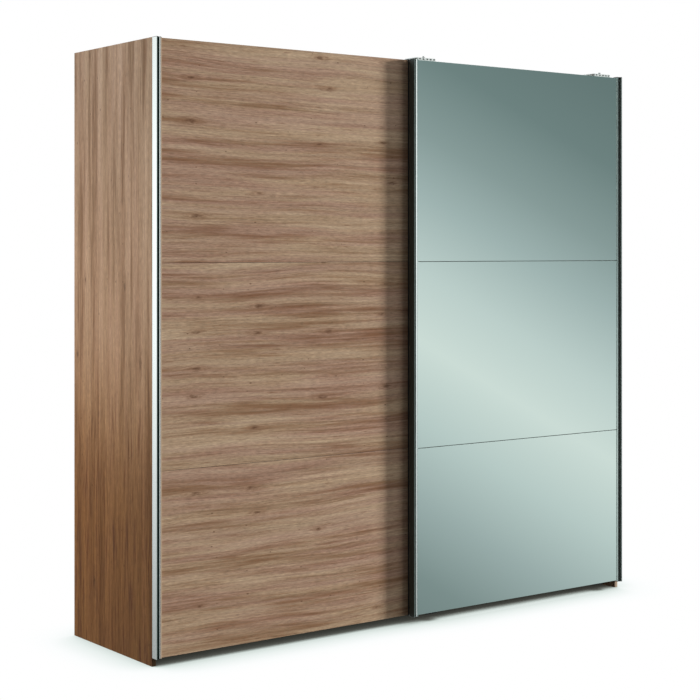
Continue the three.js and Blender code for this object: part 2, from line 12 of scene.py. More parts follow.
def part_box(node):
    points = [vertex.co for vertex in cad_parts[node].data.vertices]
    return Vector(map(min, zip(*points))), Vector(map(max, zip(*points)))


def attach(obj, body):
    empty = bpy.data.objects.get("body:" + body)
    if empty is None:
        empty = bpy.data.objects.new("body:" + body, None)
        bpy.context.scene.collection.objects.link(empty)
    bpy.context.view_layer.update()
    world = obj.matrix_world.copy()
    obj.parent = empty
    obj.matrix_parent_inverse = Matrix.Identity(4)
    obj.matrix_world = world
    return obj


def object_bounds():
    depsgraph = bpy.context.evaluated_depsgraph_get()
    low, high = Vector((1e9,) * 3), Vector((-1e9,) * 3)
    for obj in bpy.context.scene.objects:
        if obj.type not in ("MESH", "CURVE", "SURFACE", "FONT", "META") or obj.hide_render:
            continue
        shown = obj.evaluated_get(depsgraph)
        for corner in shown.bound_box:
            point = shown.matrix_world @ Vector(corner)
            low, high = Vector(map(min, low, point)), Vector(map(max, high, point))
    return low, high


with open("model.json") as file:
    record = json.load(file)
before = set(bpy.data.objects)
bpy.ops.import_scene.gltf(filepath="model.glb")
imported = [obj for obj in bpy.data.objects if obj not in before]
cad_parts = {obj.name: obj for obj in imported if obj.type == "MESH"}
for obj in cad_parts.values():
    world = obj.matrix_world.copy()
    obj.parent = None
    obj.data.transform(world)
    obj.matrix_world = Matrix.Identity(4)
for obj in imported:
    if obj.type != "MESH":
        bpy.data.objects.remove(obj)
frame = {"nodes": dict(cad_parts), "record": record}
cad_low, cad_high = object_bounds()
nodes = frame["nodes"]
MM = 0.001

# ---------------------------------------------------------------- camera

CAMERA_LEFT = 2.8017  # from the left side panel's outer face
CAMERA_FRONT = 4.8529  # from the side panel's front edge
CAMERA_HEIGHT = 1.428
VIEW_DIRECTION = Vector((0.60122, 0.79907, 0.0))
LENS = 83.43
HORIZON_SHIFT = -0.1423


def add_camera():
    side_low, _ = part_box("side_panel_left")
    data = bpy.data.cameras.new("camera")
    data.lens = LENS
    data.sensor_width = 36.0
    data.shift_y = HORIZON_SHIFT
    data.clip_end = 200.0
    camera = bpy.data.objects.new("camera", data)
    camera.location = (side_low.x - CAMERA_LEFT, side_low.y - CAMERA_FRONT, CAMERA_HEIGHT)
    camera.rotation_euler = VIEW_DIRECTION.to_track_quat("-Z", "Y").to_euler()
    bpy.context.scene.collection.objects.link(camera)
    bpy.context.scene.camera = camera


# ---------------------------------------------------------------- node helpers


def wire(tree, socket, value):
    """Links a socket to value, or sets it; a colour is three numbers."""
    if isinstance(value, bpy.types.NodeSocket):
        tree.links.new(value, socket)
    elif isinstance(value, tuple) and socket.type == "RGBA":
        socket.default_value = (*value, 1.0)
    else:
        socket.default_value = value


def add_node(tree, kind, inputs=None, **settings):
    node = tree.nodes.new(kind)
    for name, value in settings.items():
        setattr(node, name, value)
    for key, value in (inputs or {}).items():
        wire(tree, node.inputs[key], value)
    return node


def maths(tree, operation, a, b=0.0, clamp=False):
    node = add_node(tree, "ShaderNodeMath", {0: a, 1: b}, operation=operation)
    node.use_clamp = clamp
    return node.outputs[0]


def scaled(tree, value, factor):
    return maths(tree, "MULTIPLY", value, factor)


def added(tree, *values):
    total = values[0]
    for value in values[1:]:
        total = maths(tree, "ADD", total, value)
    return total


def ramp(tree, factor, stops):
    """Colour ramp; stops are (position, value) with value a grey level or an RGB triple."""
    node = add_node(tree, "ShaderNodeValToRGB", {"Fac": factor})
    band = node.color_ramp
    while len(band.elements) < len(stops):
        band.elements.new(0.5)
    for element, (position, value) in zip(band.elements, stops):
        rgb = value if isinstance(value, tuple) else (value, value, value)
        element.position = position
        element.color = (*rgb, 1.0)
    return node.outputs["Color"]


def mix(tree, factor, a, b, blend="MIX"):
    node = add_node(tree, "ShaderNodeMix", data_type="RGBA", blend_type=blend)
    for index, value in ((0, factor), (6, a), (7, b)):
        wire(tree, node.inputs[index], value)
    return node.outputs[2]


def noise(tree, vector, detail=2.0, roughness=0.5):
    inputs = {"Vector": vector, "Scale": 1.0, "Detail": detail, "Roughness": roughness}
    return add_node(tree, "ShaderNodeTexNoise", inputs).outputs["Fac"]


def combine(tree, x, y, z=0.0):
    return add_node(tree, "ShaderNodeCombineXYZ", {"X": x, "Y": y, "Z": z}).outputs[0]


def split(tree, vector):
    node = add_node(tree, "ShaderNodeSeparateXYZ", {"Vector": vector})
    return node.outputs["X"], node.outputs["Y"], node.outputs["Z"]


def object_place(tree):
    return add_node(tree, "ShaderNodeTexCoord").outputs["Object"]


def dot(tree, vector, axis):
    node = add_node(tree, "ShaderNodeVectorMath", {0: vector, 1: axis}, operation="DOT_PRODUCT")
    return node.outputs["Value"]


def enlarged(tree, vector, factor):
    node = add_node(tree, "ShaderNodeVectorMath", {0: vector, "Scale": factor}, operation="SCALE")
    return node.outputs[0]


def new_material(name):
    """An empty material with a Principled shader: (material, tree, shader)."""
    material = bpy.data.materials.new(name)
    material.use_nodes = True
    tree = material.node_tree
    tree.nodes.clear()
    shader = tree.nodes.new("ShaderNodeBsdfPrincipled")
    output = tree.nodes.new("ShaderNodeOutputMaterial")
    tree.links.new(shader.outputs["BSDF"], output.inputs["Surface"])
    return material, tree, shader


def feed(tree, shader, **inputs):
    """Sets the shader's sockets by name, with _ for a space."""
    for name, value in inputs.items():
        wire(tree, shader.inputs[name.replace("_", " ")], value)


def bump(tree, height, distance, strength=1.0):
    inputs = {"Height": height, "Distance": distance, "Strength": strength}
    return add_node(tree, "ShaderNodeBump", inputs).outputs["Normal"]


def srgb(*levels):
    """Linear colour of an sRGB colour given as 0 to 255."""
    return tuple(
        c / 12.92 if c <= 0.04045 else ((c + 0.055) / 1.055) ** 2.4
        for c in (level / 255 for level in levels)
    )


# ---------------------------------------------------------------- wood

KNOT_CELLS = (3.6, 9.0)  # cells in a metre, along and across the grain
KNOT_SHARE = 0.30
SPECK_CELLS = (8.0, 17.0)
SPECK_SHARE = 0.30
FLECK_CELLS = (7.0, 28.0)
FLECK_SHARE = 0.34
HALO_SIZE = (0.060, 0.014)  # half length and half width, also for the marks below
HEART_SIZE = (0.020, 0.0075)
FLECK_SIZE = (0.034, 0.0028)
SPECK_SIZE = (0.005, 0.0024)
KNOT_SWERVE = 0.006  # how far the grain bends aside beside a knot


def spots(tree, along, across, cells, share):
    """Scattered places on the board: (offset along, offset across, 1 where the cell holds a spot).
    Offsets are stretched from cell to cell, so that the spots differ in size."""
    u = scaled(tree, along, cells[0])
    v = scaled(tree, across, cells[1])
    cell = add_node(
        tree,
        "ShaderNodeTexVoronoi",
        {"Vector": combine(tree, u, v), "Scale": 1.0, "Randomness": 0.8},
        voronoi_dimensions="2D",
    )
    centre_u, centre_v, _ = split(tree, cell.outputs["Position"])
    pick = add_node(tree, "ShaderNodeSeparateColor", {"Color": cell.outputs["Color"]})
    stretch = added(tree, 0.75, scaled(tree, pick.outputs["Green"], 0.8))
    offset_u = scaled(tree, maths(tree, "SUBTRACT", u, centre_u), 1.0 / cells[0])
    offset_v = scaled(tree, maths(tree, "SUBTRACT", v, centre_v), 1.0 / cells[1])
    chosen = maths(tree, "LESS_THAN", pick.outputs["Red"], share)
    stretched_u = maths(tree, "MULTIPLY", offset_u, stretch)
    stretched_v = maths(tree, "MULTIPLY", offset_v, stretch)
    return stretched_u, stretched_v, chosen


def oval(tree, offset_u, offset_v, chosen, half_length, half_width):
    """Soft oval spot: 1 at its centre, 0 from its outline on."""
    u = scaled(tree, offset_u, 1.0 / half_length)
    v = scaled(tree, offset_v, 1.0 / half_width)
    squared = added(tree, maths(tree, "MULTIPLY", u, u), maths(tree, "MULTIPLY", v, v))
    inside = maths(tree, "SUBTRACT", 1.0, squared, clamp=True)
    return maths(tree, "MULTIPLY", inside, chosen)


GRAIN = {  # cells in a metre along and across, noise detail and roughness, place in the noise
    "bands": (0.8, 19.0, 3.0, 0.55, 0.0),
    "streaks": (3.4, 70.0, 4.0, 0.66, 3.0),
    "hue": (1.0, 17.0, 3.0, 0.6, 5.0),
    "lines": (0.8, 180.0, 3.0, 0.6, 11.0),
    "dashes": (38.0, 250.0, 3.0, 0.65, 13.0),
    "fibres": (40.0, 700.0, 2.0, 0.6, 7.0),
    # painted_shade_grain draws the painted shade low on the board
    "painted_shade_grain": (5.0, 85.0, 3.0, 0.6, 17.0),
}


def wood(name, vertical, seed, pink, tan, knot_share=KNOT_SHARE, sway_width=0.075, foot_painted_shade=0.0):
    """Printed walnut grain. pink and tan are the dark, middle and light tones of its two kinds of
    band; seed picks the stretch of board; foot_painted_shade is how much painted shade darkens
    the grain low on the board, in place of light that falls off towards the floor."""
    material, tree, shader = new_material(name)
    x, y, z = split(tree, object_place(tree))
    along, across = (z, added(tree, y, x)) if vertical else (x, added(tree, z, y))
    along = added(tree, along, seed * 3.7)
    across = added(tree, across, seed * 1.3)

    # Knots, and the grain that bends round them
    knot = spots(tree, along, across, KNOT_CELLS, knot_share)
    halo = oval(tree, *knot, *HALO_SIZE)
    heart = oval(tree, *knot, *HEART_SIZE)
    side_of_knot = maths(tree, "MINIMUM", scaled(tree, knot[1], 90.0), 1.0)
    side_of_knot = maths(tree, "MAXIMUM", side_of_knot, -1.0)
    swerve = scaled(tree, maths(tree, "MULTIPLY", side_of_knot, halo), -KNOT_SWERVE)
    slow = noise(tree, combine(tree, scaled(tree, along, 0.8), scaled(tree, across, 2.0)), 2.0)
    sway = scaled(tree, maths(tree, "SUBTRACT", slow, 0.5), sway_width)
    flowed = added(tree, across, sway, swerve)

    def layer(kind):
        along_cells, across_cells, detail, roughness, offset = GRAIN[kind]
        u, v = scaled(tree, along, along_cells), scaled(tree, flowed, across_cells)
        return noise(tree, combine(tree, u, v, offset), detail, roughness)

    def centred(value, factor):
        return scaled(tree, maths(tree, "SUBTRACT", value, 0.5), factor)

    bands, streaks, hue = layer("bands"), layer("streaks"), layer("hue")
    lines, dashes, fibres = layer("lines"), layer("dashes"), layer("fibres")

    # Two kinds of band, with fine grain and pores over them
    tone = added(tree, 0.5, centred(bands, 0.80), centred(streaks, 0.62))
    positions = (0.33, 0.48, 0.64)
    pink_tone = ramp(tree, tone, list(zip(positions, pink)))
    tan_tone = ramp(tree, tone, list(zip(positions, tan)))
    colour = mix(tree, ramp(tree, hue, [(0.42, 0.0), (0.58, 1.0)]), pink_tone, tan_tone)
    for grain, depth in ((lines, 0.20), (dashes, 0.30), (fibres, 0.12)):
        shade = ramp(tree, grain, [(0.25, 1.0 - depth), (0.75, 1.0 + depth)])
        colour = mix(tree, 1.0, colour, shade, "MULTIPLY")
    pores = maths(tree, "MULTIPLY", ramp(tree, dashes, [(0.50, 0.0), (0.64, 0.8)]),
                  ramp(tree, tone, [(0.34, 1.0), (0.47, 0.0)]))
    colour = mix(tree, pores, colour, pink[0])

    # Dark marks: knots, flecks and specks
    ragged = ramp(tree, dashes, [(0.35, 1.0), (0.60, 0.35)])
    colour = mix(tree, maths(tree, "MULTIPLY", scaled(tree, halo, 0.75), ragged), colour, pink[0])
    heart_tone = tuple(level * 0.55 for level in pink[0])
    colour = mix(tree, maths(tree, "MULTIPLY", heart, ragged), colour, heart_tone)
    fleck = oval(tree, *spots(tree, along, flowed, FLECK_CELLS, FLECK_SHARE), *FLECK_SIZE)
    colour = mix(tree, maths(tree, "MULTIPLY", scaled(tree, fleck, 0.8), ragged), colour, pink[0])
    speck = oval(tree, *spots(tree, along, across, SPECK_CELLS, SPECK_SHARE), *SPECK_SIZE)
    colour = mix(tree, scaled(tree, speck, 0.9), colour, heart_tone)

    # Painted shade: bolder, darker lines low on the board, in place of light that falls off towards the
    # floor
    painted_shade_tones = [(0.36, (0.45, 0.27, 0.15)), (0.50, (1.02, 0.97, 0.84))]
    painted_shade_lines = ramp(tree, layer("painted_shade_grain"), painted_shade_tones)
    painted_shade_low = ramp(tree, scaled(tree, z, 1.0 / cad_high.z), [(0.34, foot_painted_shade), (0.52, 0.0)])
    colour = mix(tree, painted_shade_low, colour, mix(tree, 1.0, colour, painted_shade_lines, "MULTIPLY"))

    rough = ramp(tree, bands, [(0.3, 0.58), (0.7, 0.47)])
    relief = added(tree, fibres, scaled(tree, lines, 0.7))
    feed(tree, shader, Base_Color=colour, Roughness=rough, Specular_IOR_Level=0.3,
         Normal=bump(tree, relief, 0.00012, 0.5))
    return material


FRONT_PINK = (srgb(120, 86, 64), srgb(147, 117, 98), srgb(161, 134, 114))
FRONT_TAN = (srgb(128, 97, 72), srgb(155, 130, 105), srgb(170, 147, 122))
SIDE_PINK = (srgb(122, 92, 66), srgb(158, 128, 100), srgb(174, 144, 117))
SIDE_TAN = (srgb(130, 102, 75), srgb(161, 133, 104), srgb(177, 149, 120))


# ---------------------------------------------------------------- other materials


def linen_board(name, colour):
    """Matt melamine with a fine linen emboss."""
    material, tree, shader = new_material(name)
    x, y, z = split(tree, object_place(tree))
    pitch, run = 900.0, 60.0
    over, up = added(tree, x, y), added(tree, z, y)
    warp = noise(tree, combine(tree, scaled(tree, over, pitch), scaled(tree, z, run)), 2.0, 0.6)
    weft = noise(tree, combine(tree, scaled(tree, over, run), scaled(tree, up, pitch)), 2.0, 0.6)
    weave = scaled(tree, added(tree, warp, weft), 0.5)
    dark = tuple(level * 0.86 for level in colour)
    light = tuple(min(1.0, level * 1.06) for level in colour)
    feed(tree, shader, Base_Color=ramp(tree, weave, [(0.35, dark), (0.65, light)]), Roughness=0.62,
         Specular_IOR_Level=0.3, Normal=bump(tree, weave, 0.0001, 0.5))
    return material


def hardboard():
    """Back panels: pale lacquered face, fibrous and slightly mottled."""
    material, tree, shader = new_material("hardboard")
    place = object_place(tree)
    fine = noise(tree, enlarged(tree, place, 90.0), 6.0, 0.7)
    broad = noise(tree, place, 4.0, 0.6)
    colour = ramp(tree, fine, [(0.3, srgb(178, 163, 140)), (0.7, srgb(200, 187, 165))])
    shade = ramp(tree, broad, [(0.3, 0.93), (0.7, 1.03)])
    feed(tree, shader, Base_Color=mix(tree, 1.0, colour, shade, "MULTIPLY"), Roughness=0.7,
         Specular_IOR_Level=0.25, Normal=bump(tree, fine, 0.0002, 0.5))
    return material


def extruded_metal(name, colour, roughness, vertical):
    """Anodised or mill-finish extrusion: die lines run along the profile."""
    material, tree, shader = new_material(name)
    x, y, z = split(tree, object_place(tree))
    along, across = (z, added(tree, x, y)) if vertical else (x, added(tree, y, z))
    die_place = combine(tree, scaled(tree, along, 0.6), scaled(tree, across, 2600.0))
    die_lines = noise(tree, die_place, 3.0, 0.6)
    bloom = noise(tree, combine(tree, scaled(tree, along, 7.0), scaled(tree, across, 30.0)), 3.0, 0.6)
    dull = tuple(level * 0.93 for level in colour)
    rough = ramp(tree, bloom, [(0.3, roughness * 0.88), (0.7, roughness * 1.12)])
    feed(tree, shader, Base_Color=ramp(tree, die_lines, [(0.3, dull), (0.7, colour)]), Metallic=1.0,
         Roughness=rough, Normal=bump(tree, die_lines, 0.00002, 0.4))
    return material


def plated_steel(name, colour, roughness, metallic=1.0):
    """Zinc or chrome plate with a faint spangle."""
    material, tree, shader = new_material(name)
    cells = add_node(tree, "ShaderNodeTexVoronoi", {"Vector": object_place(tree), "Scale": 260.0})
    pick = add_node(tree, "ShaderNodeSeparateColor", {"Color": cells.outputs["Color"]})
    dull = tuple(level * 0.9 for level in colour)
    rough = ramp(tree, pick.outputs["Green"], [(0.0, roughness * 0.85), (1.0, roughness * 1.2)])
    tones = [(0.0, dull), (1.0, colour)]
    feed(tree, shader, Base_Color=ramp(tree, pick.outputs["Red"], tones), Metallic=metallic,
         Roughness=rough)
    return material


def moulded(name, colour, roughness):
    """Moulded plastic or rubber with a fine eroded texture."""
    material, tree, shader = new_material(name)
    grain = noise(tree, enlarged(tree, object_place(tree), 1400.0), 3.0, 0.6)
    dull = tuple(level * 0.85 for level in colour)
    feed(tree, shader, Base_Color=ramp(tree, grain, [(0.3, dull), (0.7, colour)]),
         Roughness=roughness, Specular_IOR_Level=0.4, Normal=bump(tree, grain, 0.00005, 0.4))
    return material


def mirror_glass():
    """Silvered glass: a clean mirror on its faces, a pale green ground edge."""
    material, tree, shader = new_material("mirror_glass")
    normal = add_node(tree, "ShaderNodeTexCoord").outputs["Normal"]
    facing = maths(tree, "GREATER_THAN", maths(tree, "ABSOLUTE", split(tree, normal)[1]), 0.9)
    haze = noise(tree, object_place(tree), 4.0, 0.6)
    clean = ramp(tree, haze, [(0.3, 0.010), (0.7, 0.020)])
    rough = mix(tree, facing, (0.35, 0.35, 0.35), clean)
    colour = mix(tree, facing, srgb(205, 225, 220), (0.97, 0.98, 0.975))
    feed(tree, shader, Base_Color=colour, Metallic=facing, Roughness=rough)
    return material


def pile(name, colour):
    """Short dense brush pile."""
    material, tree, shader = new_material(name)
    tufts = noise(tree, enlarged(tree, object_place(tree), 1100.0), 2.0, 0.7)
    dull = tuple(level * 0.5 for level in colour)
    feed(tree, shader, Base_Color=ramp(tree, tufts, [(0.3, dull), (0.7, colour)]), Roughness=0.95,
         Specular_IOR_Level=0.1, Normal=bump(tree, tufts, 0.0006, 0.8))
    return material


def build_materials():
    made = {
        # the last number is painted shade that darkens the side panel's grain towards the floor
        "side_wood": wood("side_wood", True, 1.0, SIDE_PINK, SIDE_TAN, 0.20, 0.015, 0.85),
        "interior_board": linen_board("interior_board", srgb(222, 216, 205)),
        "backboard": hardboard(),
        "white_plastic": moulded("white_plastic", srgb(226, 223, 215), 0.45),
        "rail_chrome": plated_steel("rail_chrome", srgb(226, 228, 230), 0.10),
        "zinc_steel": plated_steel("zinc_steel", srgb(240, 244, 242), 0.34, 0.5),
        "track_aluminium": extruded_metal("track_aluminium", srgb(214, 217, 216), 0.30, False),
        "handle_aluminium": extruded_metal("handle_aluminium", srgb(250, 253, 252), 0.20, True),
        "black_nylon": moulded("black_nylon", srgb(38, 40, 40), 0.45),
        "roller_nylon": moulded("roller_nylon", srgb(176, 180, 178), 0.4),
        "joint_strip": moulded("joint_strip", srgb(40, 42, 40), 0.5),
        "mirror_glass": mirror_glass(),
        "dark_screw": plated_steel("dark_screw", srgb(62, 64, 60), 0.38),
        "bumper_rubber": moulded("bumper_rubber", srgb(44, 54, 52), 0.6),
        # painted shade down the mirror door's profiles
        "painted_shade_rubber": moulded("painted_shade_rubber", srgb(72, 80, 75), 0.5),
        # dark and grey sheets of painted shade in the finger grooves
        "groove_shade_dark": moulded("groove_shade_dark", srgb(80, 96, 92), 0.5),
        "groove_shade_grey": moulded("groove_shade_grey", srgb(136, 148, 145), 0.5),
        "brush_pile": pile("brush_pile", srgb(46, 46, 44)),
        "edge_band": linen_board("edge_band", srgb(172, 152, 131)),
    }
    for bay, seed in (("lower", 2.0), ("middle", 5.0), ("upper", 8.0)):
        name = f"door_wood_{bay}"
        made[name] = wood(name, False, seed, FRONT_PINK, FRONT_TAN)
    return made


EDGE_WIDTHS = {  # bevels that catch the light on the CAD solids, in millimetres
    "door_wood": 0.25,
    "side_wood": 0.4,
    "interior_board": 0.4,
    "handle_aluminium": 0.3,
    "track_aluminium": 0.3,
    "zinc_steel": 0.4,
    "black_nylon": 0.5,
    "white_plastic": 0.2,
}
SMOOTH_ANGLE = math.radians(35)


def dress_nodes(materials):
    """Gives every CAD node the material of its slot, and eased edges."""
    for part in frame["record"]["subparts"]:
        node, slot = part["node"], part["material_slot"]
        key = f"door_wood_{node.rsplit('_', 1)[1]}" if slot == "door_wood" else slot
        body = nodes[node]
        body.data.materials.clear()
        body.data.materials.append(materials[key])
        if slot in EDGE_WIDTHS:
            bevel = body.modifiers.new("eased_edges", "BEVEL")
            bevel.width = EDGE_WIDTHS[slot] * MM
            bevel.segments = 2
            bevel.limit_method = "ANGLE"
            bevel.angle_limit = math.radians(40)
            bevel.harden_normals = True


# ---------------------------------------------------------------- mesh helpers


def hexagon(apothem):
    """Outline as the reach from the centre at each angle."""
    return lambda angle: apothem / math.cos(angle % math.radians(60) - math.radians(30))


def cross(arm, half):
    def reach(angle):
        along = max(abs(math.cos(angle)), 1e-6)
        across = max(abs(math.sin(angle)), 1e-6)
        return max(min(arm / along, half / across), min(arm / across, half / along))

    return reach


def obround(half_length, half_width):
    straight = half_length - half_width

    def reach(angle):
        along, across = abs(math.cos(angle)), abs(math.sin(angle))
        if half_width * along <= straight * across:
            return half_width / across
        return straight * along + math.sqrt(half_width**2 - (straight * across) ** 2)

    return reach


def facing(place, direction):
    """Matrix that puts a body's foot at place and points its axis along direction."""
    turn = Vector(direction).to_track_quat("Z", "Y").to_matrix().to_4x4()
    return Matrix.Translation(place) @ turn


ALONG_X = Matrix(((0, 0, 1, 0), (1, 0, 0, 0), (0, 1, 0, 0), (0, 0, 0, 1)))


def add_turned(build, rings, to, sides=24, is_ring=False):
    """Adds a turned body from rings of (reach, height) in millimetres; a reach is a radius or a
    function of the angle. is_ring joins the last ring to the first and leaves a hole."""
    loops = []
    for reach, height in rings:
        loop = []
        for i in range(sides):
            angle = math.tau * i / sides
            radius = reach(angle) if callable(reach) else reach
            place = Vector((radius * math.cos(angle), radius * math.sin(angle), height)) * MM
            loop.append(build.verts.new(to @ place))
        loops.append(loop)
    pairs = list(zip(loops, loops[1:]))
    if is_ring:
        pairs.append((loops[-1], loops[0]))
    else:
        build.faces.new(list(reversed(loops[0])))
        build.faces.new(loops[-1])
    for lower, upper in pairs:
        for i in range(sides):
            j = (i + 1) % sides
            build.faces.new((lower[i], lower[j], upper[j], upper[i]))


def add_prism(build, corners, low, high, to=Matrix.Identity(4)):
    """Adds a straight body with this outline of (x, y) from height low to high, in metres."""
    loops = [[build.verts.new(to @ Vector((x, y, z))) for x, y in corners] for z in (low, high)]
    build.faces.new(list(reversed(loops[0])))
    build.faces.new(loops[1])
    for i in range(len(corners)):
        j = (i + 1) % len(corners)
        build.faces.new((loops[0][i], loops[0][j], loops[1][j], loops[1][i]))


def add_bar(build, low, high, edge):
    """Adds a box between two corners, with rounded edges, in metres."""
    low, high = Vector(low), Vector(high)
    size = Matrix.Diagonal((*(high - low), 1.0))
    made = bmesh.ops.create_cube(build, matrix=Matrix.Translation((low + high) / 2) @ size)
    edges = {edge_of for vertex in made["verts"] for edge_of in vertex.link_edges}
    bmesh.ops.bevel(build, geom=list(edges), offset=edge, segments=3, profile=0.5, affect="EDGES")


def make_piece(name, build, material, body):
    """Finishes a mesh as a piece that rides on a body."""
    bmesh.ops.recalc_face_normals(build, faces=build.faces)
    mesh = bpy.data.meshes.new(name)
    build.to_mesh(mesh)
    build.free()
    mesh.shade_smooth()
    mesh.set_sharp_from_angle(angle=SMOOTH_ANGLE)
    mesh.materials.append(materials[material])
    piece = bpy.data.objects.new(name, mesh)
    bpy.context.scene.collection.objects.link(piece)
    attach(piece, body)
    return piece


# ---------------------------------------------------------------- fasteners


def pan_head(radius, height):
    """Rings of a pan-head screw with a cross recess, in millimetres."""
    recess = cross(0.62 * radius, 0.17 * radius)
    return [
        (radius, 0.0),
        (radius, 0.35 * height),
        (0.93 * radius, 0.70 * height),
        (0.72 * radius, height),
        (recess, height),
        (recess, 0.25 * height),
    ]


def hex_head(apothem, height):
    return [
        (hexagon(apothem), 0.0),
        (hexagon(apothem), 0.78 * height),
        (0.94 * apothem, height),
        (0.45 * apothem, height),
        (hexagon(0.42 * apothem), 0.96 * height),
        (hexagon(0.42 * apothem), 0.3 * height),
    ]


def cam_housing():
    """Rings of a 15 mm cam fitting, set in the board with its rim just proud."""
    recess = cross(4.4, 0.9)
    return [(7.5, 0.0), (7.5, 0.4), (7.0, 0.7), (6.3, 0.7), (6.1, 0.4), (recess, 0.4), (recess, 0.05)]


def add_heads(name, rings, places, direction, material, body, sides=24):
    build = bmesh.new()
    for place in places:
        add_turned(build, rings, facing(place, direction), sides)
    return make_piece(name, build, material, body)


# ---------------------------------------------------------------- doors

DOORS = ("left_door", "right_door")
SIDES = (("left", 1), ("right", -1))

# Sizes on a handle profile are millimetres in from the door's edge, and forward of its rear
END_CAP = [
    (0.2, 0.3), (21.3, 0.3), (21.3, 24.3), (20.4, 24.3),
    (14.6, 21.5), (2.0, 27.6), (1.9, 30.2), (0.2, 30.2),
]
# Dark strip of painted shade down the outer face of the mirror door's profiles
PAINTED_SHADE_STRIP = [
    (-0.8, 2.0), (-0.8, 29.8), (-0.3, 30.4), (1.0, 30.48),
    (1.0, 29.5), (-0.02, 29.5), (-0.02, 1.2), (-0.5, 1.4),
]
BEADS = {  # where the bead over the lip starts, its material and its slot, by door and side
    ("left_door", "left"): (17.8, "edge_band", "door_wood"),
    # black nylon on the wood door's right lip is painted shade, where that lip lies in the mirror door's
    # shadow
    ("left_door", "right"): (17.8, "black_nylon", "black_nylon"),
    ("right_door", "left"): (18.4, "mirror_glass", "mirror_glass"),
    ("right_door", "right"): (19.5, "mirror_glass", "mirror_glass"),
}
SHADE_SHEET_ENDS = {  # where the dark sheet of painted shade in the groove ends on the lip
    ("left_door", "left"): 15.6,
    ("left_door", "right"): 15.6,
    ("right_door", "left"): 14.9,
    ("right_door", "right"): 19.4,
}
CAP_THICKNESS = 1.4 * MM


def lip_front(across):
    """How far forward the sloped face of a lip is."""
    return 21.65 + (across - 14.5) / 2


def groove_shade_sheet(end, folds_over_wall):
    """Outline of the dark sheet of painted shade, from the outer wall round the groove to its end on the
    lip.
    """
    wall = [(2.1, 30.55), (0.1, 30.55), (0.1, 31.0), (2.5, 31.0)]
    return [
        *(wall if folds_over_wall else [(2.1, 27.0), (2.5, 27.0)]), (2.5, 2.0), (14.0, 2.0),
        (14.0, lip_front(14.0) + 0.4), (end, lip_front(end) + 0.4), (end, lip_front(end)),
        (14.4, 21.6), (14.4, 1.6), (2.1, 1.6),
    ]


def glazing_bead(start):
    """Outline of the strip that covers a lip from start to just past its tip."""
    return [
        (21.6, 22.05), (23.0, 22.05), (23.0, 24.75), (22.8, 25.0), (start + 0.3, 25.0),
        (start, 24.75), (start, lip_front(start)), (20.45, 24.7), (21.6, 24.7),
    ]


def add_handle_details(door, side, sign):
    """Dark sheet of painted shade in the finger groove, plugs on the profile's ends, a bead along the lip
    (dark, as painted shade, on the wood door's right edge), and on the mirror door a dark strip of
    painted shade down the outer face."""
    low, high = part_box(f"{door}_handle_{side}")
    edge = low.x if sign > 0 else high.x
    full_height = [(low.z + 0.4 * MM, high.z - 0.4 * MM)]
    both_ends = [(high.z, high.z + CAP_THICKNESS), (low.z - CAP_THICKNESS, low.z)]

    def add_strip(part, corners, material, spans=full_height):
        build = bmesh.new()
        outline = [(edge + sign * across * MM, high.y - forward * MM) for across, forward in corners]
        for bottom, top in spans:
            add_prism(build, outline, bottom, top)
        make_piece(f"{door}_{part}_{side}", build, material, door)

    add_strip("profile_caps", END_CAP, "black_nylon", both_ends)
    # dark sheet of painted shade round the finger groove
    shade_sheet = groove_shade_sheet(SHADE_SHEET_ENDS[door, side], folds_over_wall=door == "left_door")
    if door == "left_door":
        add_strip("painted_groove_shade", shade_sheet, "groove_shade_dark")
    else:
        add_strip("painted_groove_shade", shade_sheet, "groove_shade_grey")
        # dark strip of painted shade down the profile's outer face
        add_strip("painted_shade_strip", PAINTED_SHADE_STRIP, "painted_shade_rubber")
    start, material, slot = BEADS[door, side]
    add_strip("bead", glazing_bead(start), material)


def add_brush_seal():
    """Brush that closes the gap between the two doors, behind the mirror door's left profile."""
    low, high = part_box("right_door_handle_left")
    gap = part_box("left_door_handle_right")[0].y - high.y
    bottom, top = low.z + 2 * MM, high.z - 2 * MM
    carrier_rear = high.y + 0.6 * MM
    pile_rear = high.y + gap - 0.6 * MM
    build = bmesh.new()
    add_bar(build, (low.x + 3 * MM, high.y, bottom), (low.x + 10 * MM, carrier_rear, top), 0.2 * MM)
    add_bar(build, (low.x + 5 * MM, carrier_rear, bottom), (low.x + 8 * MM, pile_rear, top), 0.4 * MM)
    make_piece("right_door_brush_seal", build, "brush_pile", "right_door")


HANGER_HOLES = (-15, 4, 21, 38)  # millimetres from the hanger's middle
HANGER_SLOT = -34
HANGER_ARM_TOP = 2170 * MM
SCREW_FROM_MIDDLE = -7 * MM
SCREW_BEHIND_DOOR = 8 * MM


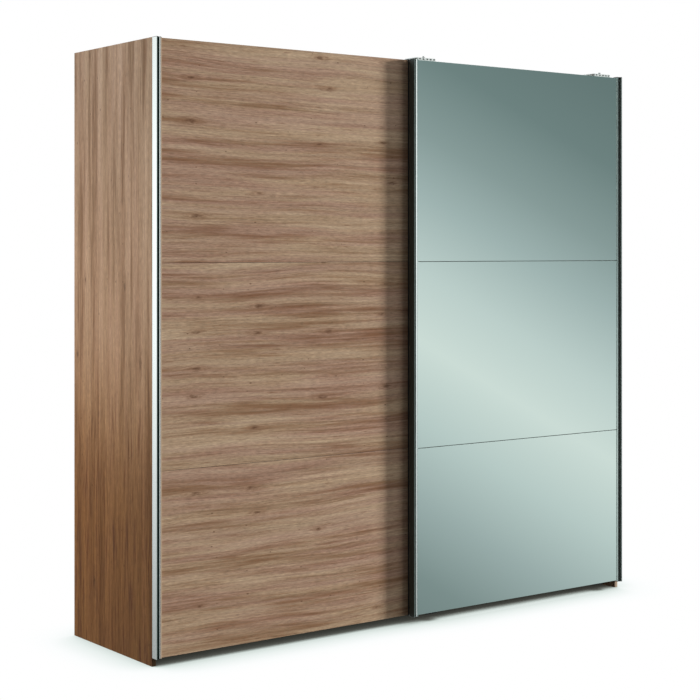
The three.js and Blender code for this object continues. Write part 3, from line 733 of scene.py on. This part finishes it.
def add_hanger_details(door, side):
    """Bolt on the roller's axle; the mirror door's hangers show bolts, a slot and a height screw
    with its nut above the glass."""
    low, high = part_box(f"{door}_hanger_{side}")
    wheel_low, wheel_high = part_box(f"{door}_roller_{side}")
    wheel = (wheel_low + wheel_high) / 2
    add_heads(f"{door}_axle_bolt_{side}", hex_head(4.2, 2.0), [(wheel.x, high.y, wheel.z)],
              (0, 1, 0), "dark_screw", door)
    if door == "left_door":
        return
    glass_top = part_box("right_door_mirror_upper")[1].z
    middle = low.x + (high.x - low.x) / 2
    bolt_z = (glass_top + HANGER_ARM_TOP) / 2 + 1 * MM
    places = [(middle + offset * MM, low.y, bolt_z) for offset in HANGER_HOLES]
    add_heads(f"{door}_hanger_bolts_{side}", hex_head(2.5, 1.6), places, (0, -1, 0),
              "dark_screw", door)
    build = bmesh.new()
    slot_rings = [(obround(5.0, 2.1), 0.0), (obround(5.0, 2.1), 0.3), (obround(4.5, 1.6), 0.5)]
    add_turned(build, slot_rings, facing((middle + HANGER_SLOT * MM, low.y, bolt_z), (0, -1, 0)), 32)
    make_piece(f"{door}_hanger_slot_{side}", build, "black_nylon", door)
    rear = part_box("right_door_handle_left")[1].y
    screw = (middle + SCREW_FROM_MIDDLE, rear + SCREW_BEHIND_DOOR, HANGER_ARM_TOP)
    build = bmesh.new()
    washer = [(6.0, 0.0), (6.0, 0.6), (5.6, 0.9), (3.4, 0.9), (3.4, 0.0)]
    nut = [(hexagon(4.4), 0.9), (hexagon(4.4), 2.9), (4.2, 3.4), (3.4, 3.4), (3.4, 0.9)]
    for rings in (washer, nut):
        add_turned(build, rings, facing(screw, (0, 0, 1)), is_ring=True)
    make_piece(f"{door}_height_nut_{side}", build, "dark_screw", door)


def add_door_details():
    for door in DOORS:
        for side, sign in SIDES:
            add_handle_details(door, side, sign)
            add_hanger_details(door, side)
    add_brush_seal()


# ---------------------------------------------------------------- carcass


def evenly(start, end, count):
    return [start + (end - start) * i / (count - 1) for i in range(count)]


TRACK_SCREWS = 8
TRACK_SCREW_FROM_END = 80 * MM
TRACK_PLATE = 2.5 * MM
NAIL_FROM_EDGE = 40 * MM


def add_track_screws():
    low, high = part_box("running_track")
    front_lane, rear_lane = (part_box(f"{door}_roller_left") for door in DOORS)
    between = (front_lane[0].y + front_lane[1].y + rear_lane[0].y + rear_lane[1].y) / 4
    columns = evenly(low.x + TRACK_SCREW_FROM_END, high.x - TRACK_SCREW_FROM_END, TRACK_SCREWS)
    places = [(x, between, low.z + TRACK_PLATE) for x in columns]
    add_heads("track_screws", pan_head(4.0, 2.0), places, (0, 0, 1), "dark_screw", "carcass",
              32)


def add_track_bumpers():
    """Rubber pads on the faces of the track stops that the rollers reach."""
    for lane in ("front", "rear"):
        for side, sign in SIDES:
            low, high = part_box(f"track_stop_{lane}_{side}")
            face = high.x if sign > 0 else low.x
            span = sorted((face, face + sign * 1.1 * MM))
            build = bmesh.new()
            add_bar(build, (span[0], low.y + 3 * MM, low.z + 6 * MM),
                    (span[1], high.y - 3 * MM, high.z - 3 * MM), 0.4 * MM)
            make_piece(f"track_bumper_{lane}_{side}", build, "bumper_rubber", "carcass")


def add_bracket_screws():
    for side, sign in SIDES:
        for end, inward in (("outer", sign), ("inner", -sign)):
            low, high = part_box(f"rail_bracket_{side}_{end}")
            plate = 2.5 * MM
            face = low.x + plate if inward > 0 else high.x - plate
            middle = (low.y + high.y) / 2
            places = [(face, middle, low.z + 3.3 * MM), (face, middle, high.z - 4.6 * MM)]
            add_heads(f"rail_bracket_screws_{side}_{end}", pan_head(2.7, 1.5), places,
                      (inward, 0, 0), "dark_screw", "carcass", 32)


def add_back_nails():
    """Nails that hold the back panels to the top and bottom boards."""
    for side, _ in SIDES:
        floor_board, top_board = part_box(f"bottom_panel_{side}"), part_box(f"top_panel_{side}")
        for half in ("outer", "inner"):
            low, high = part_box(f"back_panel_{side}_{half}")
            rows = [(board[0].z + board[1].z) / 2 for board in (floor_board, top_board)]
            columns = evenly(low.x + NAIL_FROM_EDGE, high.x - NAIL_FROM_EDGE, 5)
            places = [(x, high.y, z) for z in rows for x in columns]
            add_heads(f"back_nails_{side}_{half}", [(2.2, 0.0), (2.1, 0.35), (1.6, 0.6)], places,
                      (0, 1, 0), "dark_screw", "carcass", 16)


CAM_FROM_END = 34 * MM
CAM_ROWS = {"top_panel": (1, (-0.14, 0.06, 0.27)), "shelf": (-1, (-0.15, 0.22))}  # facing, depths


def add_cam_fittings():
    """Cam housings on top of the top boards and under the shelves."""
    for side, _ in SIDES:
        for board, (up, depths) in CAM_ROWS.items():
            low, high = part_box(f"{board}_{side}")
            face = high.z if up > 0 else low.z
            ends = (low.x + CAM_FROM_END, high.x - CAM_FROM_END)
            places = [(x, y, face) for x in ends for y in depths]
            add_heads(f"{board}_cams_{side}", cam_housing(), places, (0, 0, up), "zinc_steel",
                      "carcass", 32)


def add_wall_brackets():
    """Angles on the top boards that fix the wardrobe to the wall."""
    width, thickness, leg, rise = 30 * MM, 2 * MM, 49 * MM, 40 * MM
    wall = cad_high.y - 1 * MM
    for side, sign in SIDES:
        low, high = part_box(f"top_panel_{side}")
        foot = high.z + 0.3 * MM
        section = [
            (wall - leg, foot),
            (wall, foot),
            (wall, foot + rise),
            (wall - thickness, foot + rise),
            (wall - thickness, foot + thickness),
            (wall - leg, foot + thickness),
        ]
        outer = low.x if sign > 0 else high.x
        span = sorted((outer + sign * 25 * MM, outer + sign * 25 * MM + sign * width))
        build = bmesh.new()
        add_prism(build, section, span[0], span[1], ALONG_X)
        bracket = make_piece(f"wall_bracket_{side}", build, "zinc_steel", "carcass")
        bevel = bracket.modifiers.new("eased_edges", "BEVEL")
        bevel.width = 0.5 * MM
        bevel.segments = 2
        middle = sum(span) / 2
        places = [(middle + shift, wall - 0.7 * leg, foot + thickness) for shift in (-8 * MM, 8 * MM)]
        add_heads(f"wall_bracket_screws_{side}", pan_head(3.5, 2.0), places, (0, 0, 1), "dark_screw",
                  "carcass", 32)
        build = bmesh.new()
        hole = [(obround(5.0, 2.6), 0.0), (obround(5.0, 2.6), 0.2), (obround(4.6, 2.2), 0.3)]
        add_turned(build, hole, facing((middle, wall - thickness, foot + 0.65 * rise), (0, -1, 0)), 32)
        make_piece(f"wall_bracket_hole_{side}", build, "black_nylon", "carcass")


def add_spacer_band():
    """Pale edge band on the front of the strip beside the mirror door."""
    low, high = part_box("spacer_strip_right")
    build = bmesh.new()
    add_bar(build, (low.x + 0.1 * MM, low.y - 0.6 * MM, low.z + 0.3 * MM),
            (high.x - 0.1 * MM, low.y, high.z - 0.3 * MM), 0.2 * MM)
    make_piece("spacer_edge_band", build, "edge_band", "carcass")


def add_carcass_details():
    add_track_screws()
    add_track_bumpers()
    add_bracket_screws()
    add_back_nails()
    add_cam_fittings()
    add_wall_brackets()
    add_spacer_band()


# ---------------------------------------------------------------- stage and light

AMBIENT_ABOVE = 0.34
AMBIENT_BELOW = 0.04
ROOM_TINT = (1.20, 1.27, 1.26)
DIM_SIDE = Vector((-0.96, 0.28, 0.0))  # the ambient light is weaker from here
SUN_FROM = Vector((0.945, -0.326, 0.14))
SUN_DISTANCE = 5.0  # only its direction matters
SUN_STRENGTH = 6.0
SUN_ANGLE = math.radians(9)
SOFTBOX_POWER = 155.0
SIDE_SPOT_POWER = 327.0
SIDE_SPOT_COLOUR = (0.73, 0.825, 1.0)
WARM_POWER = 15.0
WARM_COLOUR = (1.0, 0.52, 0.09)
BACK_POWER = 120.0
SPOT_AIM = 0.875  # of the wardrobe's height
SPOT_DISTANCE = 3.0
SPOT_RISE = 0.3  # above what it aims at
WARM_DISTANCE = 1.4
WARM_BEHIND = 1.15
WARM_HEIGHT = 0.7
SOFTBOX_PLACE = (4.5, -5.6, 1.6)
BACK_PLACE = (1.5, 5.5, 3.4)
SHEEN_SLANT = 0.615  # how steeply the light band in the mirrors leans
FLOOR_SHADE_REACH = 0.24


def sheen_gradient(tree, unit, height):
    """The slanted light band in front of the doors that the mirrors show, by direction."""
    sideways = Vector((-VIEW_DIRECTION.y, -VIEW_DIRECTION.x, 0.0))
    forward = Vector((VIEW_DIRECTION.x, -VIEW_DIRECTION.y, 0.0))
    ahead = dot(tree, unit, forward)
    slant = added(tree, height, scaled(tree, dot(tree, unit, -sideways), SHEEN_SLANT))
    slant = maths(tree, "DIVIDE", slant, maths(tree, "MAXIMUM", ahead, 0.3))
    span = 0.6
    place = added(tree, 0.5, scaled(tree, slant, 1.0 / span))
    levels = [
        (-0.26, (96, 113, 112)),
        (-0.175, (124, 143, 141)),
        (-0.129, (154, 173, 171)),
        (-0.079, (184, 203, 199)),
        (-0.030, (206, 222, 216)),
        (0.013, (190, 208, 204)),
        (0.062, (160, 180, 178)),
        (0.10, (136, 156, 154)),
        (0.15, (110, 131, 129)),
        (0.20, (101, 121, 119)),
    ]
    sheen = ramp(tree, place, [(0.5 + slope / span, srgb(*tone)) for slope, tone in levels])
    return sheen, ramp(tree, ahead, [(0.72, 0.0), (0.94, 1.0)])


def reflected_room(tree, unit, height):
    """What metal and mirrors see: a bright wall low down, a dark right end, the light band."""
    across = added(tree, 0.5, scaled(tree, height, 0.5))
    levels = [
        (-1.0, 0.10),
        (-0.30, 0.20),
        (-0.24, 0.29),
        (-0.19, 0.43),
        (-0.14, 0.58),
        (-0.09, 0.78),
        (-0.04, 0.88),
        (0.02, 0.96),
        (0.055, 0.90),
        (0.10, 0.79),
        (0.14, 0.72),
        (0.30, 0.66),
        (1.0, 0.60),
    ]
    room = ramp(tree, across, [(0.5 + level / 2, value) for level, value in levels])
    room = mix(tree, 1.0, room, ROOM_TINT, "MULTIPLY")
    dark_end = ramp(tree, dot(tree, unit, Vector((1.0, 0.10, 0.0))), [(0.72, 1.0), (0.90, 0.05)])
    room = mix(tree, 1.0, room, dark_end, "MULTIPLY")
    sheen, mask = sheen_gradient(tree, unit, height)
    return mix(tree, mask, room, sheen)


def ambient_light(tree, unit, height):
    """Soft light on dull surfaces: grey from above, little from below, less from the left."""
    above = added(tree, 0.5, scaled(tree, height, 3.0))
    grey = ramp(tree, above, [(0.0, AMBIENT_BELOW), (1.0, AMBIENT_ABOVE)])
    dimmed = ramp(tree, dot(tree, unit, DIM_SIDE), [(0.0, (1.0, 1.0, 1.0)), (0.7, (0.28, 0.24, 0.17))])
    return mix(tree, 1.0, grey, dimmed, "MULTIPLY")


def add_world():
    """White backdrop for the camera; separate light for dull surfaces and for reflections."""
    world = bpy.data.worlds.new("studio")
    bpy.context.scene.world = world
    world.use_nodes = True
    tree = world.node_tree
    tree.nodes.clear()
    direction = add_node(tree, "ShaderNodeTexCoord").outputs["Generated"]
    unit = add_node(tree, "ShaderNodeVectorMath", {0: direction}, operation="NORMALIZE").outputs[0]
    height = split(tree, unit)[2]
    path = add_node(tree, "ShaderNodeLightPath")
    ambient = ambient_light(tree, unit, height)
    reflected = reflected_room(tree, unit, height)
    seen = mix(tree, path.outputs["Is Glossy Ray"], ambient, reflected)
    colour = mix(tree, path.outputs["Is Camera Ray"], seen, (1.0, 1.0, 1.0))
    background = add_node(tree, "ShaderNodeBackground", {"Color": colour, "Strength": 1.0})
    output = tree.nodes.new("ShaderNodeOutputWorld")
    tree.links.new(background.outputs[0], output.inputs["Surface"])


def add_light(name, kind, place, target, power, colour=(1.0, 1.0, 1.0), **settings):
    data = bpy.data.lights.new(name, kind)
    data.energy = power
    data.color = colour
    for key, value in settings.items():
        setattr(data, key, value)
    light = bpy.data.objects.new(name, data)
    light.location = place
    aim = Vector(target) - Vector(place)
    light.rotation_euler = aim.to_track_quat("-Z", "Y").to_euler()
    light.visible_glossy = False
    bpy.context.scene.collection.objects.link(light)
    return light


def spare_from(light, names):
    """Keeps a light off these CAD nodes."""
    spared = bpy.data.collections.new(f"{light.name}_spares")
    for name in names:
        spared.objects.link(nodes[name])
    light.light_linking.receiver_collection = spared
    for entry in spared.collection_objects:
        entry.light_linking.link_state = "EXCLUDE"


def add_lights():
    middle = (cad_low + cad_high) / 2
    sun = add_light("key_sun", "SUN", SUN_FROM * SUN_DISTANCE, (0, 0, 0), SUN_STRENGTH, angle=SUN_ANGLE)
    spare_from(sun, ["side_panel_left", "side_panel_right", "spacer_strip_right", "centre_partition"])
    softbox = add_light("softbox", "AREA", SOFTBOX_PLACE, middle, SOFTBOX_POWER,
                        shape="RECTANGLE", size=4.0, size_y=3.0)
    spare_from(softbox, ["side_panel_left"])
    aim_height = SPOT_AIM * cad_high.z
    add_light("side_spot", "SPOT", (cad_low.x - SPOT_DISTANCE, middle.y, aim_height + SPOT_RISE),
              (cad_low.x, middle.y, aim_height), SIDE_SPOT_POWER, SIDE_SPOT_COLOUR,
              spot_size=math.radians(46), spot_blend=0.55, shadow_soft_size=0.25)
    add_light("warm_side", "AREA", (cad_low.x - WARM_DISTANCE, WARM_BEHIND, WARM_HEIGHT),
              (cad_low.x, cad_high.y, WARM_HEIGHT), WARM_POWER, WARM_COLOUR,
              shape="RECTANGLE", size=1.6, size_y=1.6)
    add_light("back_fill", "AREA", BACK_PLACE, middle, BACK_POWER,
              shape="RECTANGLE", size=3.0, size_y=3.0)


def add_stage():
    """Glowing white floor with a painted contact shadow that darkens it softly where the wardrobe stands
    over it.
    """
    floor_half = 40.0
    mesh = bpy.data.meshes.new("floor")
    build = bmesh.new()
    bmesh.ops.create_grid(build, x_segments=1, y_segments=1, size=floor_half)
    build.to_mesh(mesh)
    build.free()
    floor = bpy.data.objects.new("floor", mesh)
    bpy.context.scene.collection.objects.link(floor)
    material = bpy.data.materials.new("floor")
    material.use_nodes = True
    tree = material.node_tree
    tree.nodes.clear()
    reach = {"Distance": FLOOR_SHADE_REACH}
    openness = add_node(tree, "ShaderNodeAmbientOcclusion", reach, samples=24).outputs["AO"]
    # Tones of the painted contact shadow, from under the wardrobe out to the open floor
    tones = [
        (0.0, srgb(34, 34, 30)),
        (0.18, srgb(96, 98, 92)),
        (0.42, srgb(196, 207, 202)),
        (0.62, srgb(232, 240, 237)),
        (0.86, srgb(252, 254, 254)),
        (1.0, (1.0, 1.0, 1.0)),
    ]
    glow = add_node(tree, "ShaderNodeEmission", {"Color": ramp(tree, openness, tones)})
    output = tree.nodes.new("ShaderNodeOutputMaterial")
    tree.links.new(glow.outputs[0], output.inputs["Surface"])
    mesh.materials.append(material)
    floor.visible_glossy = False
    floor.visible_diffuse = False
    floor.visible_shadow = False


# ---------------------------------------------------------------- assembly

materials = build_materials()
dress_nodes(materials)
add_door_details()
add_carcass_details()
add_camera()
add_world()
add_stage()
add_lights()
bpy.context.scene.view_settings.view_transform = "Standard"
